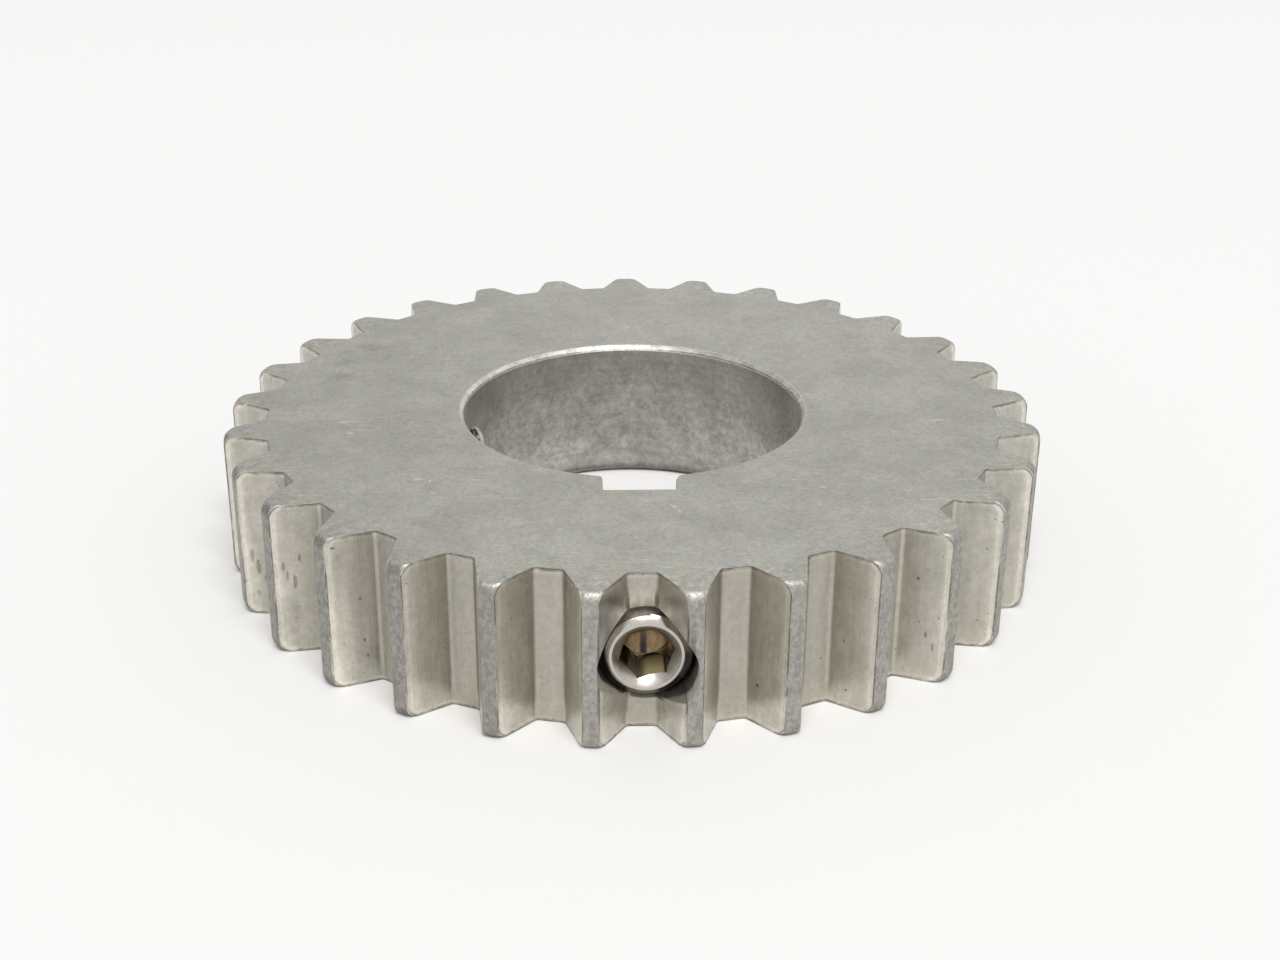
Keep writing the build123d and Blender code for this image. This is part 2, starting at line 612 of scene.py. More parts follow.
# %% [markdown]
# One hole opens over the keyway and holds the screw, and the other lies eight tooth spaces
# round from it. Each takes three tools: the threaded rod, a cone that flares its inner end,
# where the drill broke through into the bore, and a wider plain cylinder for the mouth
# between the teeth.

# %% The two holes in the ring
tap_drill_radius = 0.257 * INCH / 2
tapped_crest = 0.24
tapped_clearance = 0.03  # between the screw's crests and the bottoms of these grooves
mouth_radius = 4.05
mouth_start = 33.4
past_outside = 3.0
flare = 0.16  # how much wider a hole's inner end opens, and how far in that reaches
flare_bend = (0.2 * flare, 0.8 * flare)  # where the cone turns steeper: outwards, and in
before_metal = 2.0  # how far ahead of the inner end the cone starts
cone_end = 0.7
cone_taper = 0.05
plain_end = 0.6  # of each hole, before its thread starts


def cut_hole(angle, inner_end):
    """Cuts a tapped hole in the ring, from a distance from the axis out through the rim."""
    rod = threaded_rod(
        tap_drill_radius,
        screw_radius + tapped_clearance,
        tapped_crest,
        inner_end + plain_end,
        outside_radius + past_outside / 2,
    )
    cone = turned(
        (
            (0, inner_end - before_metal),
            (tap_drill_radius + flare + before_metal, inner_end - before_metal),
            (tap_drill_radius + flare_bend[0], inner_end + flare_bend[1]),
            (tap_drill_radius, inner_end + flare),
            (tap_drill_radius - cone_taper, inner_end + cone_end),
            (0, inner_end + cone_end),
        )
    )
    mouth = cylinder(mouth_radius, mouth_start, outside_radius + past_outside)
    for tool, name in ((rod, "tapped_wall"), (cone, "bore_chamfer"), (mouth, "hole_mouth")):
        turn_all(tool, outwards(angle))
        carve(sprocket, tool, name)


cut_hole(keyway_angle, keyway_floor)
cut_hole(side_hole_angle, bore_radius)
print("faces with the holes:", len(sprocket.data.polygons))

# %% [markdown]
# ## Easing the edges
#
# No edge of a real part is perfectly sharp. A burr is broken or a corner is worn, and that
# thin strip is what catches the light. A Bevel modifier eases every edge that has a bevel
# weight, so the script gives a weight to the edges where two surfaces meet at an angle, and
# leaves the thread alone. On the ring the new strips get a finish of their own, for worn
# metal. On the screw they keep the finish of the faces beside them.

# %% Weights for the edges to ease
eased_angle = 26


def weigh_edges(piece, skipped):
    """Marks the corners of a piece for easing, except where a face has a skipped finish."""
    skipped_slots = {SLOT[name] for name in skipped}
    bm = bmesh.new()
    bm.from_mesh(piece.data)
    bmesh.ops.remove_doubles(bm, verts=bm.verts, dist=merge_distance)
    bmesh.ops.dissolve_degenerate(bm, edges=bm.edges, dist=merge_distance)
    stray = [edge for edge in bm.edges if edge.is_wire]
    bmesh.ops.delete(bm, geom=stray, context="EDGES")
    weight = bm.edges.layers.float.new("bevel_weight_edge")
    for edge in bm.edges:
        if not edge.is_manifold:
            continue
        bent = degrees(edge.calc_face_angle(0.0)) > eased_angle
        left_sharp = any(face.material_index in skipped_slots for face in edge.link_faces)
        edge[weight] = 1.0 if bent and not left_sharp else 0.0
    for face in bm.faces:
        face.smooth = True
    loose = sum(1 for edge in bm.edges if not edge.is_manifold)
    marked = sum(1 for edge in bm.edges if edge[weight] > 0)
    bm.to_mesh(piece.data)
    bm.free()
    print(piece.name, "edges to ease:", marked, "open edges:", loose)


def ease_piece(piece, width, strip):
    """Shrinks a piece to metres, and eases its marked edges by a width in millimetres.

    The new strips get the finish with this number. With -1 they keep their neighbours'.
    """
    piece.data.transform(Matrix.Scale(MM, 4))
    ease = piece.modifiers.new("eased_edges", "BEVEL")
    ease.limit_method = "WEIGHT"
    ease.offset_type = "OFFSET"
    ease.width = width * MM
    ease.segments = 2
    ease.profile = 0.5
    ease.material = strip
    ease.use_clamp_overlap = False
    ease.miter_outer = "MITER_ARC"
    flat = piece.modifiers.new("flat_faces_stay_flat", "WEIGHTED_NORMAL")
    flat.mode = "FACE_AREA"
    flat.weight = 60
    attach(piece, "root")


weigh_edges(sprocket, skipped=("tapped_wall", "hole_mouth"))

# %% [markdown]
# The wear on a flank depends on how far down from the tip it is. No texture node can tell,
# because every flank leans its own way. So each vertex is folded back into the half space
# that the wall was drawn in, and its distance is kept on the mesh as an attribute.

# %% How far down a flank each vertex is
def fold(point):
    """Turns a point of the rim back into the half space that the wall was drawn in."""
    turn = (around(point) - first_space_angle) % pitch_angle
    return polar(point.xy.length, min(turn, pitch_angle - turn))


def distance_from_tip(point):
    """Gives how far a point lies down the flank from the eased tip, in millimetres."""
    reach = (corner_at(point.z) - root_corner).length - tip_reach * corner_growth(point.z)
    return reach - (fold(point) - root_corner).dot(flank_line)


from_tip = sprocket.data.attributes.new("from_tip", "FLOAT", "POINT")
distances = [distance_from_tip(vertex.co) for vertex in sprocket.data.vertices]
from_tip.data.foreach_set("value", distances)
print(f"vertices from {min(distances):.2f} to {max(distances):.2f} mm from a tip")
ease_piece(sprocket, width=0.07, strip=SLOT["worn_edge"])
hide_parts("sprocket")

# %% [markdown]
# ## The set screw
#
# The screw is a short turned blank: a flat ring at its outer end, which rolls over into the
# body on a rounded shoulder, and at the inner end a cup with a sharp rim, to bite into what
# the screw presses on. The mouth of the socket is countersunk.

# %% The turned blank
screw_face = 35.2
screw_length = 0.5 * INCH
screw_tip = screw_face - screw_length
ring_radius = 3.03
ring_inner_radius = 2.80
countersink_half_angle = 50
shoulder_start = radians(28)
shoulder_end = radians(70)
shoulder_steps = 8
cup_radius = 2.15
cup_half_angle = 59


def cone_depth(radius, half_angle):
    """Gives how deep a cone of this radius is, from its half angle in degrees."""
    return radius / tan(radians(half_angle))


shoulder_curve = (screw_radius - ring_radius) / (sin(shoulder_end) - sin(shoulder_start))
shoulder = []
for step in range(shoulder_steps + 1):
    slope = shoulder_start + (shoulder_end - shoulder_start) * step / shoulder_steps
    radius = ring_radius + shoulder_curve * (sin(slope) - sin(shoulder_start))
    sunk = shoulder_curve * (cos(shoulder_start) - cos(slope))
    shoulder.append((radius, screw_face - sunk))
blank = turned(
    (
        (0, screw_face - cone_depth(ring_inner_radius, countersink_half_angle)),
        (ring_inner_radius, screw_face),
        *shoulder,
        (screw_radius, screw_tip + (screw_radius - cup_radius)),
        (cup_radius, screw_tip),
        (0, screw_tip + cone_depth(cup_radius, cup_half_angle)),
    ),
    steps=128,
)


def in_countersink(face):
    """Says whether a face of the blank is on the cone at its outer end."""
    in_outer_half = face.calc_center_median().z > (screw_face + screw_tip) / 2
    return in_outer_half and middle_distance(face) < ring_inner_radius


give_finish([face for face in blank.faces if in_countersink(face)], "screw_sink")
set_screw = piece_mesh(blank, "socket_set_screw", SCREW_FINISHES)
print("faces in the screw's blank:", len(set_screw.data.polygons))

# %% [markdown]
# Where the blank and the threaded rod overlap is the screw. Its socket takes two more tools:
# a spin with only six steps, which makes a hexagon, and the cone that the drill leaves under
# it. The tools run on past the metal where they enter it.

# %% The thread and the socket
thread_root_radius = 3.13
thread_crest = 0.18
thread_clearance = 0.015  # between the blank and the thread's crests
past_screw = 1
socket_across_flats = 5 / 32 * INCH
socket_depth = 4.0
socket_turn = 12.7
socket_drill_radius = 1.95
drill_half_angle = 59
socket_floor = screw_face - socket_depth

thread = threaded_rod(
    thread_root_radius,
    screw_radius - thread_clearance,
    thread_crest,
    screw_tip - past_screw,
    screw_face + past_screw,
)
carve(set_screw, thread, "screw_thread", "INTERSECT")
hexagon_radius = socket_across_flats / 2 / cos(radians(30))
hexagon = cylinder(hexagon_radius, socket_floor, screw_face + past_screw, steps=6)
turn_all(hexagon, Matrix.Rotation(radians(socket_turn), 3, "Z"))
carve(set_screw, hexagon, "oily_socket")
drilled = turned(
    (
        (0, socket_floor - cone_depth(socket_drill_radius, drill_half_angle)),
        (socket_drill_radius, socket_floor),
        (socket_drill_radius, socket_floor + past_screw),
        (0, socket_floor + past_screw),
    )
)
carve(set_screw, drilled, "socket_floor")
set_screw.data.transform(outwards(keyway_angle).to_4x4())
weigh_edges(set_screw, skipped=("screw_thread",))
ease_piece(set_screw, width=0.03, strip=-1)
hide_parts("set_screw")

# %% [markdown]
# ## Finishes
#
# Every finish is the same steel, seen after a different job: blasted flat, cut with a
# milling cutter, turned, drilled or worn. So they are all built in the same way, as a metal
# whose colour, roughness and bump are driven by noise, and each has a short recipe that says
# how strong every part is. A small class keeps the wiring short. All patterns read Object
# coordinates, turned into millimetres first, so their sizes can be written down as they
# would be measured. A tone is a factor for the colour: 1 leaves it as it is, and the parts
# of a tone are multiplied together.

# %% A short way to wire nodes
class Coat:
    """The node tree of one finish, with a short call for each kind of node it uses."""

    def __init__(self, material):
        material.use_nodes = True
        self.tree = material.node_tree
        self.tree.nodes.clear()
        self.shader = self.node("ShaderNodeBsdfPrincipled", {"Metallic": 1.0})
        self.node("ShaderNodeOutputMaterial", {"Surface": self.shader.outputs[0]})
        metres = self.node("ShaderNodeTexCoord").outputs["Object"]
        scale = (1 / MM, 1 / MM, 1 / MM)
        self.place = self.node("ShaderNodeMapping", {"Vector": metres, "Scale": scale}).outputs[0]
        self.x, self.y, self.z = self.node("ShaderNodeSeparateXYZ", {"Vector": self.place}).outputs
        self.radius = self.away(self.x, self.y)
        self.height = self.math("ABSOLUTE", self.z)
        self.aside = self.math("ABSOLUTE", self.x)

    def join(self, source, target):
        """Sets a socket: links it to another socket, or writes a plain value into it."""
        if isinstance(source, bpy.types.NodeSocket):
            self.tree.links.new(source, target)
        else:
            target.default_value = source

    def node(self, kind, inputs=None, **settings):
        """Adds a node with these settings, and sets its sockets by name or by number."""
        made = self.tree.nodes.new(kind)
        for name, value in settings.items():
            setattr(made, name, value)
        for name, value in (inputs or {}).items():
            self.join(value, made.inputs[name])
        return made

    def math(self, operation, *values):
        """Works out one sum."""
        inputs = dict(enumerate(values))
        return self.node("ShaderNodeMath", inputs, operation=operation).outputs[0]

    def product(self, value, *factors):
        """Multiplies a value by each factor in turn."""
        for factor in factors:
            value = self.math("MULTIPLY", value, factor)
        return value

    def plus(self, value, share, other):
        """Adds a share of another value."""
        return self.math("MULTIPLY_ADD", other, share, value)

    def away(self, a, b):
        """Gives how far a point is from an axis, from its two distances square to it."""
        return self.math("SQRT", self.plus(self.math("MULTIPLY", b, b), a, a))

    def between(self, value, low, high, to_low=0.0, to_high=1.0):
        """Maps a value smoothly from one range to another, and holds it at the ends."""
        ends = {"From Min": low, "From Max": high, "To Min": to_low, "To Max": to_high}
        inputs = {"Value": value, **ends}
        node = self.node("ShaderNodeMapRange", inputs, interpolation_type="SMOOTHSTEP")
        return node.outputs[0]

    def fade(self, value, start, end):
        """Gives 1 up to the start, and falls to 0 at the end."""
        return self.between(value, start, end, 1.0, 0.0)

    def vary(self, noise, low, high):
        """Lets a noise swing a factor from low to high."""
        return self.between(noise, 0.3, 0.7, low, high)

    def where(self, mask, factor):
        """Gives a factor where a mask is 1, and 1 where the mask is 0."""
        return self.between(mask, 0, 1, 1.0, factor)

    def mapped(self, kind="POINT", move=(0, 0, 0), turn=0.0, scale=(1, 1, 1)):
        """Gives the place moved, turned about Z by degrees, and scaled."""
        inputs = {"Location": move, "Rotation": (0, 0, radians(turn)), "Scale": scale}
        inputs["Vector"] = self.place
        return self.node("ShaderNodeMapping", inputs, vector_type=kind).outputs[0]

    def noise(self, size, detail, rough, place=None, warp=0.0):
        """Gives cloudy noise, from 0 to 1, whose lumps are about this many millimetres."""
        inputs = {"Scale": 1 / size, "Detail": detail, "Roughness": rough, "Distortion": warp}
        inputs["Vector"] = self.place if place is None else place
        return self.node("ShaderNodeTexNoise", inputs).outputs["Fac"]

    def blend(self, share, a, b):
        """Mixes two colours."""
        node = self.node("ShaderNodeMix", {"Factor": share}, data_type="RGBA")
        first, second = [socket for socket in node.inputs if socket.type == "RGBA"]
        for value, socket in ((a, first), (b, second)):
            self.join(value if isinstance(value, bpy.types.NodeSocket) else (*value, 1), socket)
        return next(socket for socket in node.outputs if socket.type == "RGBA")

    def dim(self, colour, share):
        """Multiplies a colour by a number."""
        inputs = {0: colour, "Scale": share}
        return self.node("ShaderNodeVectorMath", inputs, operation="SCALE").outputs[0]

    def bump(self, value, depth, under=None):
        """Raises the surface by a value times a depth in millimetres, on top of another bump."""
        inputs = {"Strength": 1.0, "Distance": depth * MM, "Height": value}
        if under is not None:
            inputs["Normal"] = under
        return self.node("ShaderNodeBump", inputs).outputs[0]

    def set(self, **sockets):
        """Sets the shader's sockets by name, with _ for a space."""
        for name, value in sockets.items():
            self.join(value, self.shader.inputs[name.replace("_", " ")])


def apply_finish(name, recipe):
    """Wires a recipe into the material of this name."""
    coat = Coat(bpy.data.materials[name])
    recipe(coat)
    print(name, "has", len(coat.tree.nodes), "nodes")


print("one unit of a pattern is", MM, "m")

# %% [markdown]
# Worn metal needs three kinds of mark. Specks are the peaks of a noise, cut off at a level,
# so they lie anywhere. Scratches are the thin lines along which a stretched noise passes its
# middle value. Both cover a surface evenly, and a real part also has its own few marks that
# an owner would know it by. Those are placed one by one: the place is squeezed until the mark
# is a ball of radius 1, and the distance from its centre, made ragged by a noise, is cut off.

# %% Patterns that several finishes share
def specks(coat, size, share, seed):
    """Gives scattered spots: 1 in a spot, 0 elsewhere. A larger share makes more of them.

    A share of 0 makes hardly any, because the noise seldom rises above 0.72.
    """
    inputs = {"Vector": coat.place, "W": seed, "Scale": 1 / size, "Detail": 3.0}
    peaks = coat.node("ShaderNodeTexNoise", inputs, noise_dimensions="4D").outputs["Fac"]
    return coat.between(peaks, 0.72 - share, 0.78 - share)


def scratches(coat, turn, length, width, share, seed):
    """Gives thin straight marks on the flat faces, all turned one way and broken by noise."""
    squeeze = (1 / length, 1 / (8 * width), 1)
    lines = coat.noise(1.0, 1.0, 0.4, coat.mapped(move=(seed, seed, 0), turn=turn, scale=squeeze))
    from_line = coat.math("ABSOLUTE", coat.math("SUBTRACT", lines, 0.5))
    return coat.product(coat.fade(from_line, 0.0, 0.012), specks(coat, length * 0.8, share, seed))


def mark_at(coat, centre, turn, length, width, height=2.0):
    """Gives one ragged mark at a place in millimetres, as long, wide and high as this."""
    squeezed = coat.mapped("TEXTURE", centre, turn, (length / 2, width / 2, height / 2))
    from_centre = coat.node("ShaderNodeVectorMath", {0: squeezed}, operation="LENGTH")
    # The noise adds 0.7 on average, so the ragged edge lies a little inside a radius of 1
    ragged = coat.plus(from_centre.outputs["Value"], 1.4, coat.noise(0.25, 3, 0.6))
    return coat.fade(ragged, 1.3, 1.9)


def marks_on_top(coat, marks, found):
    """Adds marks on the upper face to the ones found so far."""
    for centre, turn, length, width in marks:
        mark = mark_at(coat, (*centre, half_width), turn, length, width)
        found = coat.math("MAXIMUM", found, mark)
    return found


# %% [markdown]
# The flat faces were blasted and then handled for years. The metal is an even matt grey, and
# what makes it look real is faint: clouds of stain a few millimetres across, a fine grain
# from the blasting, pale scuffs where other parts have rubbed, and a few short scratches.
# The face has been knocked most near the teeth, so it is more uneven there.

# %% The blasted faces
# Each mark is its centre, the turn of its long side in degrees, its length and its width
PALE_MARKS = (
    ((2.70, -22.30), -50, 1.0, 0.24),
    ((3.15, -23.25), -72, 0.9, 0.22),
    ((-19.05, -16.36), 4, 0.8, 0.30),
    ((-18.06, -16.80), 70, 0.5, 0.22),
    ((-17.65, -19.24), 20, 0.5, 0.26),
    ((-26.80, -3.60), 6, 1.3, 0.40),
    ((-26.10, -6.20), -10, 0.9, 0.35),
    ((15.75, -18.76), -15, 0.6, 0.30),
    ((28.10, -4.30), 12, 1.6, 0.22),
)
DARK_SMUDGES = (
    ((-28.4, 7.6), 20, 3.4, 1.8),
    ((-26.2, 16.0), -10, 3.0, 2.2),
    ((-28.6, 11.6), 60, 2.4, 1.6),
    ((-17.9, -17.9), 35, 2.2, 1.6),
)


def face_colour(coat):
    """Gives the grey of the faces, with warm, yellow and stained patches."""
    warm = coat.between(coat.noise(0.9, 3, 0.6, coat.mapped(move=(7, 7, 7))), 0.40, 0.62)
    yellow = coat.between(coat.noise(1.1, 3, 0.6, coat.mapped(move=(23, 23, 23))), 0.48, 0.62)
    stain = coat.between(coat.noise(1.7, 5, 0.65), 0.50, 0.68)
    colour = coat.blend(warm, (0.392, 0.397, 0.368), (0.418, 0.390, 0.356))
    colour = coat.blend(coat.product(yellow, 0.7), colour, (0.405, 0.396, 0.328))
    return coat.blend(coat.product(stain, 0.6), colour, (0.366, 0.352, 0.318))


def blasted_face(coat):
    grain = coat.noise(0.30, 3, 0.65)
    cloud = coat.noise(5.5, 4, 0.55, warp=0.4)
    scuff = specks(coat, 2.6, 0.09, 3.0)
    long_scratch = scratches(coat, 28, 9, 0.035, 0.17, 5.0)
    short_scratch = scratches(coat, -47, 6, 0.03, 0.17, 11.0)
    pale = marks_on_top(coat, PALE_MARKS, coat.math("MAXIMUM", long_scratch, short_scratch))
    smudge = marks_on_top(coat, DARK_SMUDGES, 0.0)
    near_rim = coat.between(coat.radius, 33.0, 36.5)
    handling = coat.noise(0.8, 4, 0.65, coat.mapped(move=(41, 41, 41)))
    handled = coat.between(handling, 0.35, 0.65, 0.89, 1.08)
    tone = coat.product(
        coat.vary(cloud, 0.92, 1.06),
        coat.between(coat.x, -34, -2, 0.915, 1.0),
        coat.between(coat.y, -34, -20, 1.05, 1.0),
        coat.between(grain, 0.28, 0.72, 0.86, 1.13),
    )
    for share, mask in ((0.06, scuff), (0.4, pale), (-0.1, smudge)):
        tone = coat.plus(tone, share, mask)
    tone = coat.product(tone, coat.where(near_rim, handled))
    tone = coat.plus(tone, 0.28, coat.product(specks(coat, 0.45, 0.11, 29.0), near_rim))
    coat.set(
        Base_Color=coat.dim(face_colour(coat), tone),
        Roughness=coat.vary(grain, 0.46, 0.56),
        Normal=coat.bump(grain, 0.014),
    )


apply_finish("blasted_face", blasted_face)

# %% [markdown]
# The flanks and the floors of the spaces were cut last, and they are the brightest metal on
# the part. Most of what is seen on them follows the distance down the flank, which was kept
# on the mesh for this. First come the marks. Small nicks lie everywhere, larger ones bite
# into the left side, and the list has those that stand out: dark ones where something has
# struck, and broad light patches that are painted reflections, where a flank mirrors the
# bright surroundings.

# %% The marks on the flanks
# Each mark is its centre, its width, its height and how much lighter or darker it is
FLANK_MARKS_AND_REFLECTIONS = (
    ((-30.4, -21.4, 1.3), 0.30, 0.9, -0.35),
    ((-30.1, -21.4, 0.4), 0.25, 1.0, -0.30),
    ((-29.5, -21.3, -0.2), 0.30, 1.6, -0.40),
    ((-29.0, -21.2, 2.0), 0.25, 0.7, -0.35),
    ((-34.3, -14.4, -1.2), 0.35, 1.3, -0.35),
    ((-33.8, -14.4, -2.3), 0.40, 1.5, -0.40),
    ((-33.2, -14.4, -3.4), 0.30, 0.8, -0.35),
    ((-30.4, -21.5, -3.6), 2.60, 4.6, -0.13),
    ((-23.2, -26.8, -2.9), 0.30, 0.4, -0.45),
    ((-23.0, -26.7, -4.4), 0.25, 0.5, -0.40),
    # These five broad light patches are painted reflections, where a flank mirrors bright
    # surroundings
    ((-25.3, -27.5, -3.2), 3.00, 10.0, 0.16),
    ((-10.6, -34.7, -1.6), 3.60, 8.0, 0.14),
    ((-11.4, -35.5, -5.7), 1.90, 3.0, 0.06),
    ((-3.1, -37.2, -5.9), 1.60, 3.0, 0.10),
    ((3.1, -37.2, -5.9), 1.80, 3.2, 0.14),
    ((9.0, -34.1, -3.4), 0.25, 0.3, -0.65),
    ((11.2, -36.3, -2.8), 0.40, 0.9, -0.45),
    ((16.6, -31.7, -5.4), 0.20, 0.25, -0.60),
    ((22.8, -27.3, 2.6), 0.25, 0.3, -0.55),
    ((23.7, -27.7, -2.6), 0.25, 0.7, -0.40),
    ((24.3, -27.9, -3.6), 0.22, 1.0, -0.35),
)
MARK_DEPTH = 4  # through the metal, so that a mark reaches the whole of a slanting flank
DENTED_FROM = -0.2  # a mark darker than this is a dent
print("marks on the flanks:", len(FLANK_MARKS_AND_REFLECTIONS))


def flank_nicks(coat):
    """Gives the scattered nicks, which are more and larger at the left."""
    bites = coat.product(specks(coat, 0.7, 0.09, 17.0), coat.fade(coat.x, -34, -22))
    return coat.math("MAXIMUM", specks(coat, 0.42, 0.035, 7.0), coat.product(bites, 0.5))


def listed_marks_and_reflections(coat, dents):
    """Gives the tone that the marks and painted reflections leave, and adds the deep ones to the
    dents.
    """
    tone = 1.0
    for centre, width, height, change in FLANK_MARKS_AND_REFLECTIONS:
        mark = mark_at(coat, centre, 0, width, MARK_DEPTH, height)
        tone = coat.product(tone, coat.where(mark, 1 + change))
        if change < DENTED_FROM:
            dents = coat.math("MAXIMUM", dents, mark)
    return tone, dents


# %% [markdown]
# The cut stops in a ragged dark border at the faces and the tip, with a bright line inside
# it. The chain rubs each flank just below the tip, and leaves a bright band there that is
# wavy at its lower edge. The band is partly a painted reflection as well: it is brighter out
# at the sides and reaches further down at the lower left, where a flank mirrors the bright
# surroundings. Further down, towards the root, the flank is painted a little darker, as
# shade. A noise added to a distance, before it is cut off, makes a ragged edge. The first of
# these gives the darkened border, and the next the tone near the tip.

# %% The borders of a flank
def worn_border(coat, ragged, tip_distance, face_distance):
    """Gives where the border of a flank has gone dark. It is broken by gaps."""
    from_face = coat.plus(face_distance, -0.55, ragged)
    from_tip_line = coat.plus(tip_distance, -0.35, ragged)
    worn = coat.math(
        "MAXIMUM", coat.fade(from_face, -0.12, 0.0), coat.fade(from_tip_line, -0.20, -0.11)
    )
    gaps = coat.noise(1.3, 3, 0.6, coat.mapped(move=(53, 53, 53)))
    return coat.product(worn, coat.between(gaps, 0.38, 0.58, 0.25, 1.0))


def tone_near_tip(coat, ragged, broad, tip_distance):
    """Gives the bright band below the tip, partly a painted reflection, the metal under it painted
    darker as shade, and a thin dark line.
    """
    wavy = coat.plus(tip_distance, 0.9, coat.math("SUBTRACT", ragged, 0.5))
    # Painted reflection: the band is brighter out at the sides and reaches further down at the
    # lower left
    band_and_sheen_tone = coat.between(coat.aside, 14, 30, 1.13, 1.32)
    band_and_sheen_end = coat.between(coat.plus(coat.z, 0.3, coat.x), -14, -6, 1.9, 0.95)
    off_line = coat.plus(coat.math("SUBTRACT", tip_distance, 0.12), 0.3, ragged)
    line = coat.fade(coat.math("ABSOLUTE", off_line), 0.03, 0.10)
    return coat.product(
        coat.between(wavy, 0.1, band_and_sheen_end, band_and_sheen_tone, 1.0),
        # Painted shade: the flank darkens a little further down, towards the root
        coat.between(wavy, 0.8, 1.6, 1.0, 0.95),
        coat.between(tip_distance, 1.8, 3.4, 1.0, 0.96),
        coat.where(coat.product(line, coat.between(broad, 0.38, 0.55)), 0.45),
    )


def round_the_screw(coat):
    """Gives how near the screw a flank is, and a painted shadow: a dark ring under the screw."""
    from_screw = coat.away(coat.x, coat.z)
    front = coat.fade(coat.y, -34, -33)
    # A painted shadow under the screw
    beside = coat.product(coat.fade(from_screw, 4.2, 6.5), front)
    shadow_ring = coat.product(
        coat.fade(from_screw, 4.2, 4.55),
        front,
        coat.fade(coat.z, -2.6, -0.5),
        coat.fade(coat.aside, 1.1, 1.6),
    )
    return beside, shadow_ring


# %% [markdown]
# The cutter left fine lines along the teeth, so a reflection is smeared across them and
# stays crisp along them. The shader's anisotropy does that, once a Tangent node has told it
# which way is round the axis. The floors of the spaces are a little darker than the flanks,
# and they are painted darker on the left and lighter on the right, as painted light, since
# more light falls from the right. Out at the sides, where the foot of a flank nears a face,
# the blasting has greyed it.

# %% The cut flanks
def flank_colour(coat, tip_distance, worn):
    """Gives the warm grey of the cut metal."""
    patch = coat.between(coat.noise(2.6, 4, 0.6), 0.34, 0.66)
    on_floor = coat.between(tip_distance, 3.4, 4.2)
    # Painted light: the floors darker at the left and lighter at the right, where more light falls
    floor_painted_light = coat.product(
        coat.between(coat.x, -20, -10, 0.93, 1.07), coat.between(coat.x, 14, 24, 1.0, 1.12)
    )
    greyed = coat.product(
        coat.between(coat.height, 3.5, 6.6),
        coat.between(tip_distance, 2.4, 3.8),
        coat.between(coat.aside, 18, 26, 0.0, 0.9),
        coat.where(on_floor, 0.3),
    )
    colour = coat.blend(patch, (0.50, 0.478, 0.415), (0.575, 0.54, 0.485))
    colour = coat.blend(on_floor, colour, coat.dim((0.49, 0.463, 0.405), floor_painted_light))
    colour = coat.blend(greyed, colour, (0.60, 0.585, 0.545))
    return coat.blend(worn, colour, (0.34, 0.325, 0.29))


def cut_flank(coat):
    tip_distance = coat.node("ShaderNodeAttribute", attribute_name="from_tip").outputs["Fac"]
    face_distance = coat.math("SUBTRACT", half_width, coat.height)
    across = coat.node("ShaderNodeTangent", direction_type="RADIAL", axis="Z").outputs[0]
    streak = coat.noise(0.14, 2, 0.6, coat.mapped(scale=(1, 1, 0.035)))
    broad = coat.noise(0.9, 2, 0.5, coat.mapped(scale=(1, 1, 0.12)))
    mottle = coat.noise(0.55, 4, 0.65, coat.mapped(move=(31, 31, 31)))
    ragged = coat.noise(0.5, 4, 0.65)
    nicks = flank_nicks(coat)
    marks, dents = listed_marks_and_reflections(coat, nicks)
    beside_screw, shadow_ring = round_the_screw(coat)
    worn = worn_border(coat, ragged, tip_distance, face_distance)
    border = coat.plus(coat.math("MINIMUM", tip_distance, face_distance), -0.55, ragged)
    bright_line = coat.math(
        "SUBTRACT", coat.between(border, -0.02, 0.06), coat.between(border, 0.1, 0.3)
    )
    tone = coat.product(
        coat.between(streak, 0.25, 0.75, 0.955, 1.045),
        coat.vary(broad, 0.95, 1.04),
        coat.vary(mottle, 0.92, 1.07),
        coat.where(nicks, 0.45),
        # the listed marks, whose broad light patches are painted reflections
        marks,
    )
    tone = coat.product(
        coat.plus(tone, 0.12, bright_line),
        tone_near_tip(coat, ragged, broad, tip_distance),
        # Painted light: beside the screw the flank is lighter, most above it, to offset the dark
        # reflection of the hole
        coat.where(beside_screw, coat.between(coat.z, 1.5, 4.0, 1.04, 1.28)),
        # Painted shadow: a dark ring on the flank under the screw
        coat.where(shadow_ring, 0.22),
    )
    rough = coat.plus(coat.vary(streak, 0.27, 0.34), 0.16, beside_screw)
    coat.set(
        Base_Color=coat.dim(flank_colour(coat, tip_distance, worn), tone),
        Roughness=coat.plus(rough, 0.2, worn),
        Anisotropic=0.75,
        Tangent=across,
        Normal=coat.bump(dents, -0.03, coat.bump(mottle, 0.012, coat.bump(streak, 0.005))),
    )


apply_finish("cut_flank", cut_flank)

# %% [markdown]
# The lands are what is left of the turned outside. They are as rough and grey as the faces,
# but they meet every knock, so they are mottled with pale bruises, most of all on the
# rounded ends. Where an end runs into the flat face it takes on the face's own colour, with
# a ragged edge, because no line shows there on real metal.

